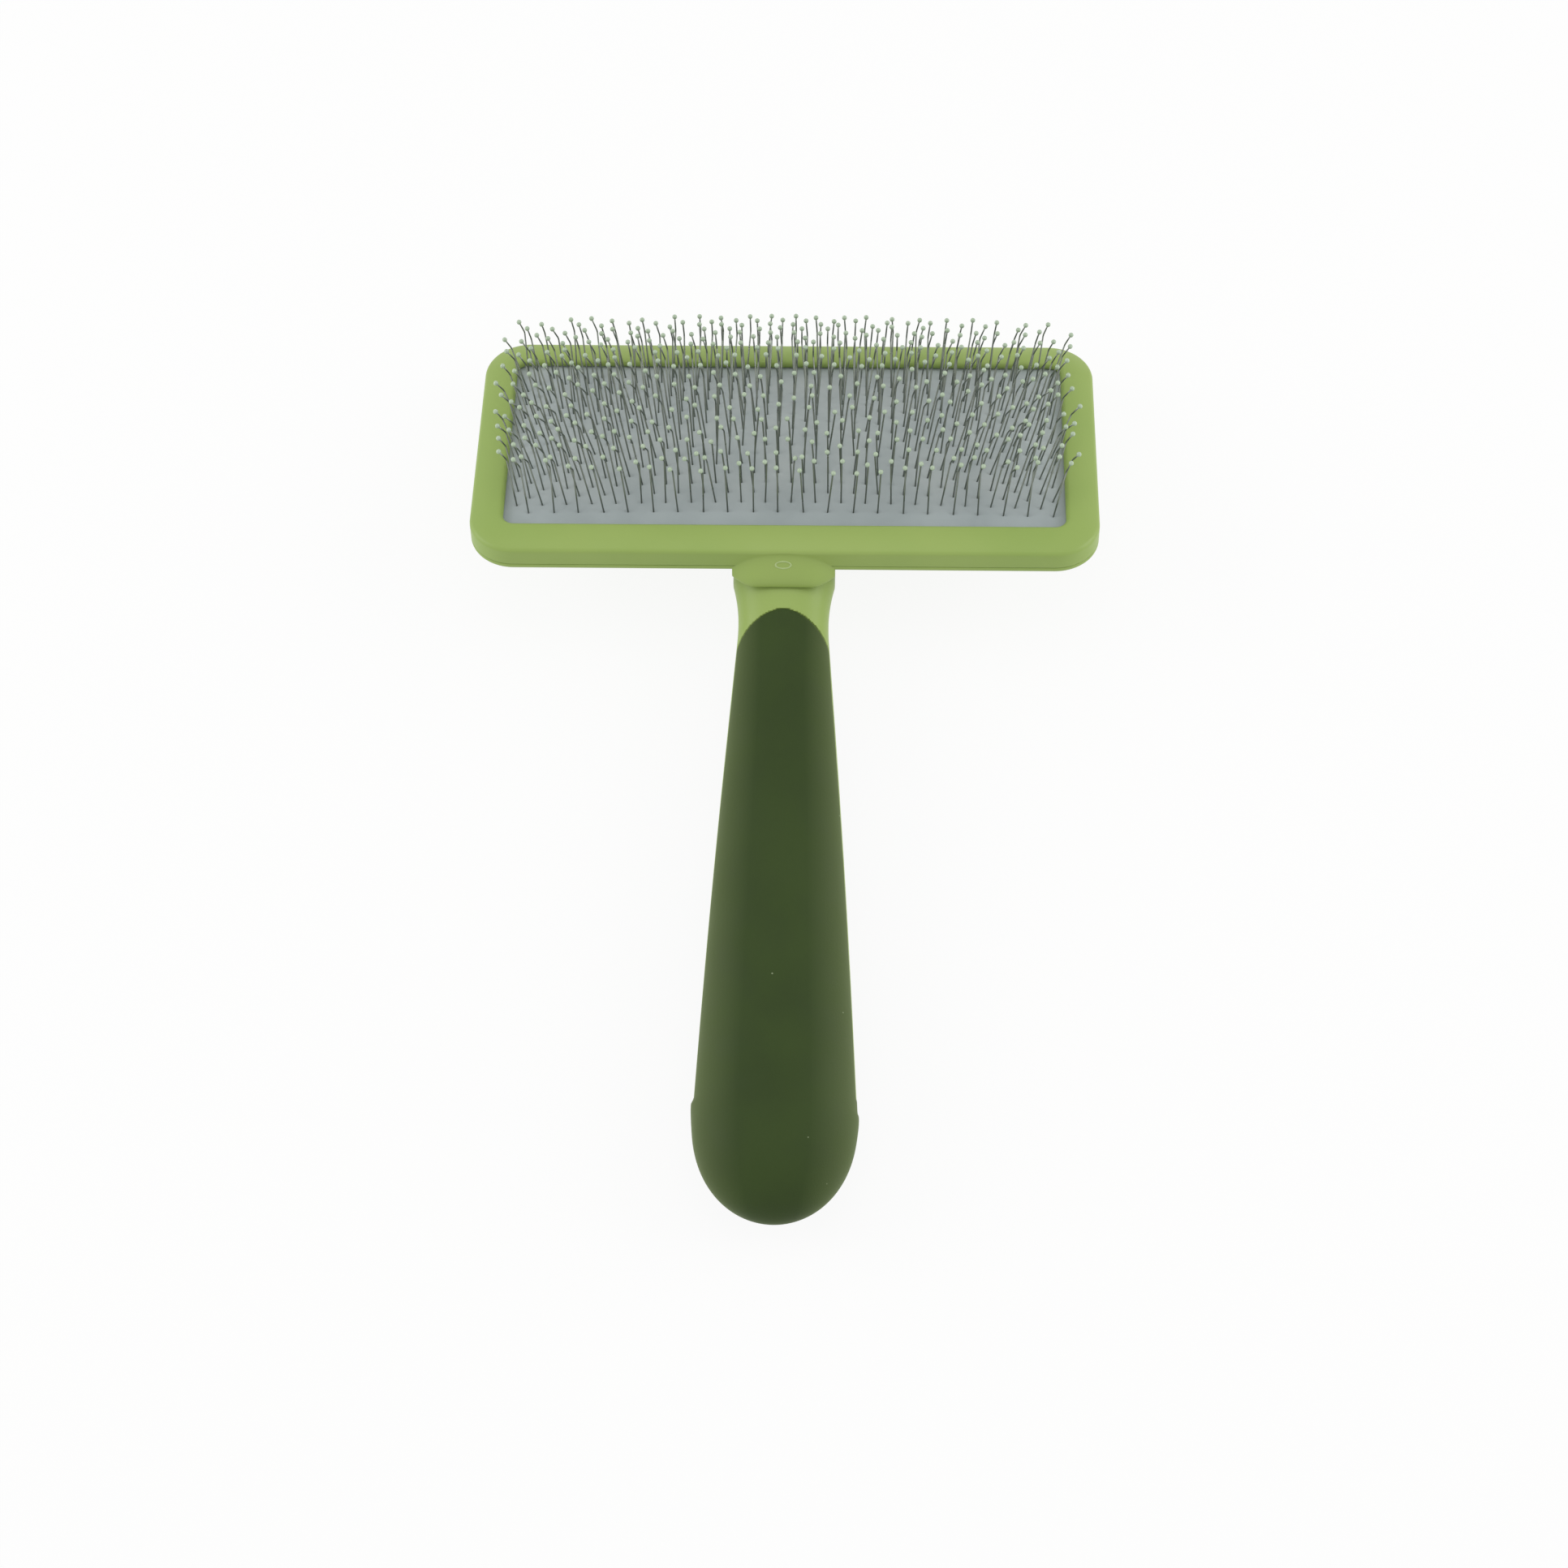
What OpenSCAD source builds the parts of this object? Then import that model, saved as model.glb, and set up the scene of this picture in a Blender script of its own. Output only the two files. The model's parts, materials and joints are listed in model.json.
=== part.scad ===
// Slicker brush: a wide head with a domed rubber pad full of bent wire pins,
// on a moulded handle with a soft rubber grip. Millimetres, +Z up.
// The brush lies on its back with the pins up and the handle towards -Y.
// The head frame has its origin in the middle of the opening, level with the
// top of the rim: X along the head, Y away from the handle, Z out of the pad.

/* [Head] */
// Length of the head, across the handle
head_length = 115; // [90:1:140]
// Width of the head, along the handle
head_width = 54.6; // [48:0.2:70]
// Width of the rim around the pad
rim_width = 6.2; // [5:0.1:7.5]
// Radius of the head's outer corners
rim_corner = 8.3; // [8:0.1:12]
// How far the crowned rim falls from its crest to its outer edge
rim_crown = 1.2; // [0.6:0.1:1.6]
// Share of the rim's width at which the crown is highest
rim_crest = 0.15; // [0.1:0.05:0.4]
// Depth of the face frame, from the rim's crest to the parting line
frame_depth = 4.8; // [4.4:0.1:6]
// Wall of the face frame's skirt
frame_wall = 1.8; // [1.2:0.1:2.2]
// Height of the back shell's band below the parting line
band_height = 0.54; // [0.4:0.02:1.5]
// Depth of the whole head, from the rim's crest to the flat back
head_depth = 12.2; // [11.5:0.1:16]
// How far the back shell draws in from the rim to the flat back
back_inset = 7.6; // [6.5:0.1:8]
// Thickness of the back shell's floor
floor_wall = 2.7; // [2:0.1:3]

/* [Pad] */
// Depth of the pad's edge below the rim's crest
pad_step = 1.56; // [1.3:0.02:1.8]
// Rise of the pad's dome from its edge to its middle
pad_rise = 5.6; // [3:0.1:8]
// Fullness of the dome across the head, lower is fuller
dome_power_y = 1.63; // [1:0.01:2.2]
// Fullness of the dome along the head, lower is fuller
dome_power_x = 1.2; // [1:0.01:2]
// Thickness of the rubber pad
rubber_wall = 1.2; // [0.9:0.05:1.4]
// Thickness of the fabric backing glued under the rubber
fabric_wall = 0.5; // [0.3:0.05:0.7]
// Width of the pad's edge that the frame clamps
pad_clamp = 3.4; // [2:0.1:4]
// Gap around soft pieces
soft_gap = 0.3; // [0.2:0.05:0.5]

/* [Staples] */
// Rows of staples
rows = 20; // [10:1:20]
// Staples in a row
staples_per_row = 11; // [5:1:11]
// Distance between rows, along the pad's surface
row_pitch = 1.955; // [1.6:0.005:2]
// How far the field of pins is set towards the head's far edge
field_shift = 0.4; // [-0.5:0.1:0.8]
// Distance between the two legs of a staple
staple_width = 4.7; // [3:0.1:5.2]
// Distance between staples in a row
staple_pitch = 9.12; // [7:0.02:9.4]
// Diameter of the staple wire
wire_d = 0.34; // [0.25:0.01:0.45]
// Length of a leg from the pad to its knee
shank_length = 8.8; // [6:0.1:11]
// Length of a leg past its knee
tip_length = 3.3; // [2:0.1:4.5]
// Lean of the shanks away from the handle
pin_lean = 29; // [10:1:32]
// Turn of the knee back towards the handle
knee_turn = 50; // [30:1:60]
// Gap between a staple's crown and the fabric it pulls against
crown_gap = 0.03; // [0.01:0.01:0.06]
// Diameter of the bead on each pin's tip
bead_d = 0.95; // [0.7:0.05:1.3]

/* [Handle] */
// Angle by which the handle drops away from the head
handle_drop = 20; // [15:1:24]
// Depth of the handle's middle line where it passes under the rim
handle_seat = 13.3; // [12.5:0.1:14.5]
// Length of the handle, from the rim to its butt
handle_length = 115.6; // [90:0.2:140]
// Width of the handle at its narrow neck
neck_width = 16.5; // [14:0.5:18]
// Distance of the neck's narrowest place from the rim
neck_place = 5.6; // [5:0.2:9]
// Radius of the neck's hollowed sides
neck_hollow = 45; // [30:1:60]
// Width of the handle at its belly, near the butt
belly_width = 28.8; // [24:0.2:34]
// Length of the rounded butt, from the belly to the end
butt_length = 17; // [14:0.5:22]
// Thickness of the handle as a share of its width
handle_flatness = 0.68; // [0.6:0.01:0.8]

/* [Grip] */
// Wall of the soft grip
grip_wall = 2.2; // [1.5:0.1:3]
// Distance of the grip's arched front edge from the rim
grip_start = 3.8; // [2.5:0.1:6]
// Length of the arch at the grip's front
arch_length = 12; // [8:0.5:16]
// Width of that arch
arch_width = 18; // [14:0.5:18.4]
// Thickness of the hard rib that shows between the grip's two faces
rib_wall = 2.4; // [1.5:0.1:4]
// Distance of the rib's end from the butt
rib_end = 21; // [15:0.5:30]

/* [Tongue] */
// Width of the frame's tongue, which covers the root of the neck
tongue_width = 18.7; // [16:0.1:20]
// Reach of the tongue past the rim
tongue_reach = 2.7; // [2:0.1:3.5]
// Depth of the tongue's lip below the rim's crest
tongue_drop = 7.3; // [6.5:0.1:7.8]
// Where the tongue's slope starts, below the rim's outer edge
tongue_start = 0.4; // [0.2:0.1:1]
// Radius of the tongue's rounded sides
tongue_corner = 2.5; // [1:0.1:2.6]
// Clearance between the tongue and what it covers
tongue_gap = 0.1; // [0.05:0.05:0.2]
// Place of the oval gate mark, as a share of the tongue's slope
gate_place = 0.17; // [0.12:0.01:0.6]
// Width of the oval gate mark on the tongue
gate_width = 3.2; // [2:0.1:5]
// Height of the oval gate mark
gate_height = 1.5; // [1:0.1:2.5]
// How far the gate mark stands proud
gate_proud = 0.2; // [0.1:0.05:0.4]

/* [Hidden] */
$fn = 96;
handle_fn = 48;
wire_fn = 24;
eps = 0.01;
far = 200;
overcut = 1;
skirt_depth = 3;
steepest_rest = 45;

// Opening in the rim, and the corner radius left round it
open_length = head_length - 2 * rim_width;
open_width = head_width - 2 * rim_width;
open_corner = rim_corner - rim_width;

// Crown of the rim, as an arc over the crest
crest_at = rim_width * rim_crest;
crown_reach = rim_width - crest_at;
crown_r = (crown_reach * crown_reach + rim_crown * rim_crown) / (2 * rim_crown);
lip_r = pad_step / 2;

// Layers under the rim
rubber_edge_low = pad_step + rubber_wall;
ledge_z = rubber_edge_low + fabric_wall;
part_line = frame_depth;
band_low = frame_depth + band_height;
floor_z = head_depth - floor_wall;
ledge_reach = rim_width - frame_wall - soft_gap;
back_u = rim_width - back_inset;
wall_slope = (head_depth - band_low) / back_inset;
pocket_z = floor_z + wall_slope * back_u;

// Staples
crown_depth = rubber_wall + fabric_wall + crown_gap + wire_d / 2;
crown = [0, -crown_depth * tan(pin_lean), -crown_depth];
knee = shank_length * [0, sin(pin_lean), cos(pin_lean)];
tip = knee + tip_length * [0, sin(pin_lean - knee_turn), cos(pin_lean - knee_turn)];
bend_swell = 1.06;
pin_pitch = staple_pitch / 2;
row_span = (staples_per_row - 1) * staple_pitch;
flat_r = wire_d / 2;
bead_r = bead_d / 2;
bead_seat = sqrt(bead_r * bead_r - flat_r * flat_r);
cushion_drop = fabric_wall + rubber_wall + crown_gap + wire_d + soft_gap;

// Handle, in its own frame: t runs along it from the rim to the butt
belly_r = belly_width / 2;
neck_r = neck_width / 2;
belly_t = handle_length - butt_length;
root_t = -22;
root_r = tongue_width / 2;
hollow_mid = [neck_r + neck_hollow, neck_place];
to_hollow = hollow_mid - [belly_r, belly_t];
taper_turn = atan2(to_hollow.y, to_hollow.x) - asin(neck_hollow / norm(to_hollow));
taper_run = sqrt(to_hollow * to_hollow - neck_hollow * neck_hollow);
taper_foot = [belly_r, belly_t] + taper_run * [cos(taper_turn), sin(taper_turn)];
rib_stop = handle_length - rib_end;

// Pad surface: height and slopes of the dome
half_x = open_length / 2;
half_y = open_width / 2;
function fall(v, half) = max(0, 1 - (v / half) * (v / half));
function dome_z(x, y) = -pad_step + pad_rise * pow(fall(y, half_y), dome_power_y) * pow(fall(x, half_x), dome_power_x);
function slope_y(x, y) =
    -pad_rise * dome_power_y * 2 * y / (half_y * half_y)
    * pow(fall(y, half_y), dome_power_y - 1) * pow(fall(x, half_x), dome_power_x);
function slope_x(x, y) =
    -pad_rise * dome_power_x * 2 * x / (half_x * half_x)
    * pow(fall(x, half_x), dome_power_x - 1) * pow(fall(y, half_y), dome_power_y);

// Rows are equally spaced along the curved surface, stepped from the middle out
march = 8;
function surface_y(s, y = 0, n = 0) =
    n >= march ? y : surface_y(s, y + s / march / sqrt(1 + pow(slope_y(0, y), 2)), n + 1);
function row_y(row) = surface_y((row - (rows - 1) / 2) * row_pitch + field_shift);
function row_x(row) = (row % 2 == 0 ? 1 : -1) * pin_pitch / 4;

// Lay the brush down: the head's far back edge and the butt touch the floor.
// down() is the floor's direction in the head frame for a tilt a.
back_edge = [open_width / 2 + back_u, -head_depth];
butt_mid = [-head_width / 2 - belly_t * cos(handle_drop), -handle_seat - belly_t * sin(handle_drop)];
function down(a) = [sin(a), -cos(a)];
function butt_reach(a) =
    let (along = butt_length * sin(handle_drop - a), across = belly_r * handle_flatness * cos(handle_drop - a))
    butt_mid * down(a) + sqrt(along * along + across * across);
function settle(low, high, steps) =
    let (mid = (low + high) / 2)
    steps == 0 ? mid :
    butt_reach(mid) > back_edge * down(mid) ? settle(mid, high, steps - 1) : settle(low, mid, steps - 1);
rest_tilt = settle(0, steepest_rest, 24);
floor_drop = back_edge * down(rest_tilt);

// The tilt carries the head's middle sideways, so the brush is shifted back to
// have its box's middle over the origin. The far end is the rim or a bead.
bead_mid = tip + bead_seat * [0, sin(pin_lean - knee_turn), cos(pin_lean - knee_turn)];
function bead_at(y) =
    let (s = slope_y(0, y))
    [y, dome_z(0, y)] + [bead_mid.y - s * bead_mid.z, s * bead_mid.y + bead_mid.z] / sqrt(1 + s * s);
bead_ends = [for (row = [0 : rows - 1]) bead_at(row_y(row)) * [cos(rest_tilt), sin(rest_tilt)] + bead_r];
far_end = max(concat(bead_ends, [head_width / 2 * cos(rest_tilt) - rim_crown * sin(rest_tilt)]));
butt_end = butt_mid * [cos(rest_tilt), sin(rest_tilt)]
    - sqrt(pow(butt_length * cos(handle_drop - rest_tilt), 2)
        + pow(belly_r * handle_flatness * sin(handle_drop - rest_tilt), 2));
rest_shift = -(far_end + butt_end) / 2;

handle_body();
soft_grip();
face_frame();
pad_rubber();
pad_fabric();
pad_cushion();
for (row = [1 : rows]) {
    number = str(row < 10 ? "0" : "", row);
    staple_row(row - 1);
    tip_row(row - 1);
}

// From the head frame to the brush lying on its back
module at_rest() {
    translate([0, rest_shift, floor_drop]) rotate([-rest_tilt, 0, 0]) children();
}

// From the handle's own frame, X across, Y through its thickness, Z to the butt
module on_handle() {
    translate([0, -head_width / 2, -handle_seat]) rotate([90 + handle_drop, 0, 0]) children();
}

// Sweep a section (distance outwards from the opening, height) round the rim
module round_rim() {
    side_x = half_x - open_corner;
    side_y = half_y - open_corner;
    for (turn = [0, 180]) rotate(turn) {
        translate([-side_x, half_y, 0]) rotate([90, 0, 90]) linear_extrude(2 * side_x) children();
        translate([half_x, side_y, 0]) rotate([90, 0, 0]) linear_extrude(2 * side_y) children();
        for (side = [-1, 1]) translate([side_x, side * side_y, 0]) rotate(side > 0 ? 0 : -90)
            rotate_extrude(angle = 90) translate([open_corner, 0]) children();
    }
}

// Flat plate that fills the opening, drawn out by grow
module opening_plate(grow, low, high) {
    corner = open_corner + grow;
    translate([0, 0, low]) linear_extrude(high - low) {
        square([open_length + 2 * grow - 2 * corner, open_width + 2 * grow], center = true);
        square([open_length + 2 * grow, open_width + 2 * grow - 2 * corner], center = true);
        for (x = [-1, 1], y = [-1, 1])
            translate([x * (half_x + grow - corner), y * (half_y + grow - corner)]) circle(corner);
    }
}

// Half outline of the handle, drawn in by inset: straight root, hollow neck,
// taper tangent to the neck's hollow, and elliptical butt
module handle_outline(inset = 0) {
    foot = hollow_mid + (taper_foot - hollow_mid) * (neck_hollow + inset) / neck_hollow;
    intersection() {
        translate([0, root_t]) square([far, far]);
        union() {
            difference() {
                translate([0, root_t]) square([root_r - inset, foot.y + eps - root_t]);
                translate(hollow_mid) circle(neck_hollow + inset);
            }
            polygon([[0, foot.y], foot, [belly_r - inset, belly_t + eps], [0, belly_t + eps]]);
            translate([0, belly_t]) scale([1, (butt_length - inset) / (belly_r - inset)]) circle(belly_r - inset);
        }
    }
}

// Handle turned round its middle line, before it is flattened
module turned_handle(inset = 0) {
    rotate_extrude($fn = handle_fn) handle_outline(inset);
}

// Flatten children whose full depth is that of the handle's round radius r
module flattened(r) {
    resize([0, 2 * r * handle_flatness, 0]) children();
}

// Space that the soft grip fills: all past the arch, less the hard core and its rib
module grip_space() {
    rib_depth = rib_wall / handle_flatness;
    difference() {
        rotate([90, 0, 0]) linear_extrude(far, center = true) {
            translate([-far / 2, grip_start + arch_length]) square([far, far]);
            translate([0, grip_start + arch_length]) scale([arch_width / 2, arch_length]) circle(1);
        }
        turned_handle(grip_wall);
        translate([-far / 2, -rib_depth / 2, 0]) cube([far, rib_depth, rib_stop]);
    }
}

// Neck alone, grown by gap, as the tongue sees it
module neck_form(gap) {
    reach = neck_place + tongue_reach;
    flattened(root_r + gap) intersection() {
        turned_handle(-gap);
        translate([-far / 2, -far / 2, -reach]) cube([far, far, 2 * reach]);
    }
}

// Section of the back shell's wall: ledge under the pad, step for the frame, sloping back
module shell_section() {
    polygon([
        [0, -ledge_z], [ledge_reach, -ledge_z],
        [ledge_reach, -part_line], [rim_width, -part_line],
        [rim_width, -band_low], [back_u, -head_depth],
        [back_u, -floor_z], [0, -pocket_z]
    ]);
}

// Section of the face frame: round lip, crowned top and skirt
module frame_section() {
    translate([lip_r, -lip_r]) circle(lip_r);
    difference() {
        intersection() {
            translate([crest_at, -crown_r]) circle(crown_r);
            translate([lip_r, -part_line]) square([rim_width - lip_r, part_line]);
        }
        translate([0, -part_line - overcut]) square([rim_width - frame_wall, part_line + overcut - pad_step]);
    }
}

// Hard core of the handle, its neck and rib, and the back shell, in one moulding
module handle_body() {
    color("#9db16b") at_rest() difference() {
        union() {
            on_handle() flattened(max(belly_r - grip_wall, root_r)) difference() {
                turned_handle();
                grip_space();
            }
            round_rim() shell_section();
            opening_plate(back_u, -head_depth, -floor_z);
        }
        opening_plate(0, -pocket_z, far);
        opening_plate(back_u, -floor_z, far);
    }
}

// Soft overmoulded grip, front and back in one piece round the butt
module soft_grip() {
    color("#3e4d2a") at_rest() on_handle() flattened(belly_r) intersection() {
        turned_handle();
        grip_space();
    }
}

// Tongue of the face frame over the root of the neck
module tongue() {
    root = head_width / 2;
    lip_y = -root - tongue_reach;
    slope_top = rim_crown + tongue_start;
    slope_fall = tongue_drop - slope_top;
    translate([0, -root - tongue_reach * gate_place, -slope_top - slope_fall * gate_place])
        rotate([atan2(slope_fall, tongue_reach), 0, 0]) translate([0, 0, -gate_proud])
            linear_extrude(2 * gate_proud) scale([gate_width / 2, gate_height / 2]) circle(1);
    difference() {
        intersection() {
            rotate([90, 0, 90]) linear_extrude(tongue_width, center = true) polygon([
                [-root + frame_wall / 2, -slope_top],
                [-root, -slope_top],
                [lip_y, -tongue_drop],
                [lip_y, -tongue_drop - skirt_depth],
                [-root - tongue_gap, -tongue_drop - skirt_depth],
                [-root - tongue_gap, -part_line],
                [-root + frame_wall / 2, -part_line]
            ]);
            translate([0, 0, -far / 2]) linear_extrude(far) {
                translate([-tongue_width / 2, lip_y + tongue_corner]) square([tongue_width, root]);
                translate([-tongue_width / 2 + tongue_corner, lip_y])
                    square([tongue_width - 2 * tongue_corner, root]);
                for (side = [-1, 1])
                    translate([side * (tongue_width / 2 - tongue_corner), lip_y + tongue_corner])
                        circle(tongue_corner);
            }
        }
        on_handle() neck_form(tongue_gap);
    }
}

// Rim round the pad with its tongue; it traps the pad's edge against the shell
module face_frame() {
    color("#96ae66") at_rest() {
        round_rim() frame_section();
        tongue();
    }
}

// Sheet or block whose top follows the pad's dome, drop below its surface
module domed(grow, drop, low_drop, flat_low = undef) {
    nx = 22;
    ny = 12;
    reach_x = half_x + grow;
    reach_y = half_y + grow;
    function at_x(i) = -reach_x * cos(180 * i / nx);
    function at_y(j) = -reach_y * cos(180 * j / ny);
    function low(x, y) = is_undef(flat_low) ? dome_z(x, y) - low_drop : -flat_low;
    top = [for (j = [0 : ny], i = [0 : nx]) [at_x(i), at_y(j), dome_z(at_x(i), at_y(j)) - drop]];
    base = [for (p = top) [p.x, p.y, low(p.x, p.y)]];
    count = (nx + 1) * (ny + 1);
    function at(i, j) = j * (nx + 1) + i;
    polyhedron(concat(top, base), concat(
        [for (j = [0 : ny - 1], i = [0 : nx - 1], half = [0, 1])
            half == 0 ? [at(i, j), at(i, j + 1), at(i + 1, j + 1)] : [at(i, j), at(i + 1, j + 1), at(i + 1, j)]],
        [for (j = [0 : ny - 1], i = [0 : nx - 1], half = [0, 1])
            half == 0 ? [count + at(i, j), count + at(i + 1, j + 1), count + at(i, j + 1)]
                : [count + at(i, j), count + at(i + 1, j), count + at(i + 1, j + 1)]],
        [for (i = [0 : nx - 1]) [at(i, 0), at(i + 1, 0), count + at(i + 1, 0), count + at(i, 0)]],
        [for (i = [0 : nx - 1]) [at(i + 1, ny), at(i, ny), count + at(i, ny), count + at(i + 1, ny)]],
        [for (j = [0 : ny - 1]) [at(0, j + 1), at(0, j), count + at(0, j), count + at(0, j + 1)]],
        [for (j = [0 : ny - 1]) [at(nx, j), at(nx, j + 1), count + at(nx, j + 1), count + at(nx, j)]]
    ));
}

// Sheet of the pad, cut out with rounded corners to lie under the rim
module pad_sheet(drop, low_drop) {
    intersection() {
        domed(pad_clamp + soft_gap, drop, low_drop);
        opening_plate(pad_clamp, -head_depth, pad_rise);
    }
}

// Domed rubber pad, its flat edge clamped under the rim
module pad_rubber() {
    color("#919996") at_rest() pad_sheet(0, rubber_wall);
}

// Fabric backing under the rubber, which holds the staples' crowns
module pad_fabric() {
    color("#c9ccc4") at_rest() pad_sheet(rubber_wall, rubber_wall + fabric_wall);
}

// Foam cushion between the staples' crowns and the back shell
module pad_cushion() {
    color("#d8d4c0") at_rest() domed(back_u - soft_gap, cushion_drop, 0, floor_z);
}

// Round wire through points, pressed slightly flat at each bend
module wire(points) {
    for (n = [1 : len(points) - 1]) {
        run = points[n] - points[n - 1];
        translate(points[n - 1]) rotate([0, acos(run.z / norm(run)), atan2(run.y, run.x)]) {
            cylinder(d = wire_d, h = norm(run), $fn = wire_fn);
            if (n > 1) cube(wire_d * bend_swell, center = true);
        }
    }
}

// One staple on the pad: crown under the fabric, two kneed legs through the pad
module staple() {
    x = staple_width / 2;
    wire([[-x, tip.y, tip.z], [-x, knee.y, knee.z], [-x, crown.y, crown.z],
        [x, crown.y, crown.z], [x, knee.y, knee.z], [x, tip.y, tip.z]]);
}

// Bead on a pin's tip, with a flat seat the size of the wire
module bead() {
    translate(tip) rotate([knee_turn - pin_lean, 0, 0]) translate([0, 0, bead_seat]) difference() {
        sphere(bead_r, $fn = wire_fn);
        translate([-bead_r, -bead_r, -bead_r - bead_seat]) cube(bead_d);
    }
}

// Set children on the pad at (x, y), square to its surface
module on_pad(x, y) {
    turn_y = -atan(slope_x(x, y));
    translate([x, y, dome_z(x, y)]) rotate([atan(slope_y(x, y) * cos(turn_y)), turn_y, 0]) children();
}

// Set children at each staple of a row, counted from the handle
module along_row(row) {
    for (n = [0 : staples_per_row - 1])
        on_pad(row_x(row) + n * staple_pitch - row_span / 2, row_y(row)) children();
}

// Row of steel wire staples
module staple_row(row) {
    color("#8d9290") at_rest() along_row(row) staple();
}

// Row of beads on the tips of those staples
module tip_row(row) {
    color("#dfe6d2") at_rest() along_row(row)
        for (side = [-1, 1]) translate([side * staple_width / 2, 0, 0]) bead();
}
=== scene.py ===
import json
import math

import bmesh
import bpy
import numpy as np
from mathutils import Matrix, Vector


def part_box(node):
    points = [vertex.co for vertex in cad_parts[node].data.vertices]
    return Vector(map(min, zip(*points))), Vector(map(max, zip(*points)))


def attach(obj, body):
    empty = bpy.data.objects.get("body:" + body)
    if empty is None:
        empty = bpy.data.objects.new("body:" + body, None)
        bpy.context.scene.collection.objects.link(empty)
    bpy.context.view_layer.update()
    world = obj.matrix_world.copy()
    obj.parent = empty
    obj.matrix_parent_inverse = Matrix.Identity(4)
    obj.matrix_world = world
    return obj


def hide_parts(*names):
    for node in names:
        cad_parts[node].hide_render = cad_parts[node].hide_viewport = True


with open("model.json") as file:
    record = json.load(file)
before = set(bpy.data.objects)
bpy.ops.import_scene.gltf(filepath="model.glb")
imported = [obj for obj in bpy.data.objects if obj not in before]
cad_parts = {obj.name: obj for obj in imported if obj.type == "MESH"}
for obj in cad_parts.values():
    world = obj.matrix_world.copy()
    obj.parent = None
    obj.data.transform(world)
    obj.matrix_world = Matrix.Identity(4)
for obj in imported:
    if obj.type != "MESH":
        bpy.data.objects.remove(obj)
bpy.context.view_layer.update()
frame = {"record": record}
mm = 0.001

head = {
    "length": 115.0, "width": 54.6, "rim": 6.2, "corner": 8.3, "depth": 12.2, "backY": 8.0,
    "crown": 1.2, "crest": 0.93, "edgeRound": 1.0, "lip": 0.78, "wall": 1.8,
    "partLine": 4.8, "partEdge": 0.2, "partGap": 0.02,
    "bandLow": 5.34, "bandRound": 0.8, "inset": 7.6, "sideSteps": (2.6, 3.6, 4.3),
}
pad = {"step": 1.56, "rise": 5.6, "powerY": 1.63, "powerX": 1.2, "clamp": 3.0}
handle = {
    "drop": 20.0, "seat": 13.3, "length": 116.75, "neck": 8.25, "neckPlace": 5.6,
    "hollow": 45.0, "flare": 0.006, "flareRun": 12.0, "bow": 0.35,
    "belly": 14.4, "butt": 18.15, "buttPower": 2.2,
    "root": 9.35, "rootSquare": 0.3, "squareRun": 20.0, "flatness": 0.671,
}

halfX = head["length"] / 2 - head["rim"]
halfY = head["width"] / 2 - head["rim"]
openCorner = head["corner"] - head["rim"]


def headFrame():
    # Matrix from the head frame, in millimetres, to the row frame, in metres.
    mount = frame["record"]["mounts"][0]
    down = Vector(mount["axis"])
    tilt = math.atan2(-down.y, -down.z)
    turn = Matrix.Rotation(-tilt, 4, "X")
    backPoint = Vector((0, head["backY"], -head["depth"])) * mm
    origin = Vector(mount["pos_m"]) - turn @ backPoint
    return Matrix.Translation(origin) @ turn @ Matrix.Scale(mm, 4)


toRow = headFrame()


def place(points):
    # Head frame points (N, 3) in millimetres, as row frame points in metres.
    m = np.array(toRow)
    return np.asarray(points, float) @ m[:3, :3].T + m[:3, 3]


def onHandle(x, n, t):
    # Head frame point from the handle's own: across, through its thickness, along.
    drop = math.radians(handle["drop"])
    y = -head["width"] / 2 - t * math.cos(drop) - n * math.sin(drop)
    z = -handle["seat"] - t * math.sin(drop) + n * math.cos(drop)
    return np.stack(np.broadcast_arrays(x, y, z), -1)


def linear(code):
    # Linear colour of an sRGB hex code.
    parts = [int(code[i:i + 2], 16) / 255 for i in (1, 3, 5)]
    return [c / 12.92 if c <= 0.04045 else ((c + 0.055) / 1.055) ** 2.4 for c in parts] + [1.0]


def material(name, code, roughness, metallic=0.0, ior=1.45):
    made = bpy.data.materials.new(name)
    made.use_nodes = True
    shader = made.node_tree.nodes["Principled BSDF"]
    shader.inputs["Base Color"].default_value = linear(code)
    shader.inputs["Roughness"].default_value = roughness
    shader.inputs["Metallic"].default_value = metallic
    shader.inputs["IOR"].default_value = ior
    made.diffuse_color = linear(code)
    return made, made.node_tree, shader


def node(tree, kind, inputs=None, **settings):
    # Adds a node; inputs map socket names or numbers to values or sockets.
    made = tree.nodes.new(kind)
    for key, value in settings.items():
        setattr(made, key, value)
    for key, value in (inputs or {}).items():
        if isinstance(value, bpy.types.NodeSocket):
            tree.links.new(value, made.inputs[key])
        else:
            made.inputs[key].default_value = value
    return made


def objectPoint(tree):
    return node(tree, "ShaderNodeTexCoord").outputs["Object"]


def perMetre(size):
    # Texture scale of a pattern whose features are size millimetres apart.
    return 1 / (size * mm)


def noise(tree, point, size, detail=2.0):
    made = node(tree, "ShaderNodeTexNoise", {"Vector": point, "Scale": perMetre(size), "Detail": detail})
    return made.outputs["Fac"]


def spread(tree, value, low, high, outLow, outHigh):
    # Maps low..high to outLow..outHigh and stays within them.
    made = node(tree, "ShaderNodeMapRange", {0: value, 1: low, 2: high, 3: outLow, 4: outHigh})
    return made.outputs[0]


def clouds(tree, point, size, detail=3.0):
    # Soft patches that reach from 0 to 1.
    return spread(tree, noise(tree, point, size, detail), 0.35, 0.65, 0.0, 1.0)


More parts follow.
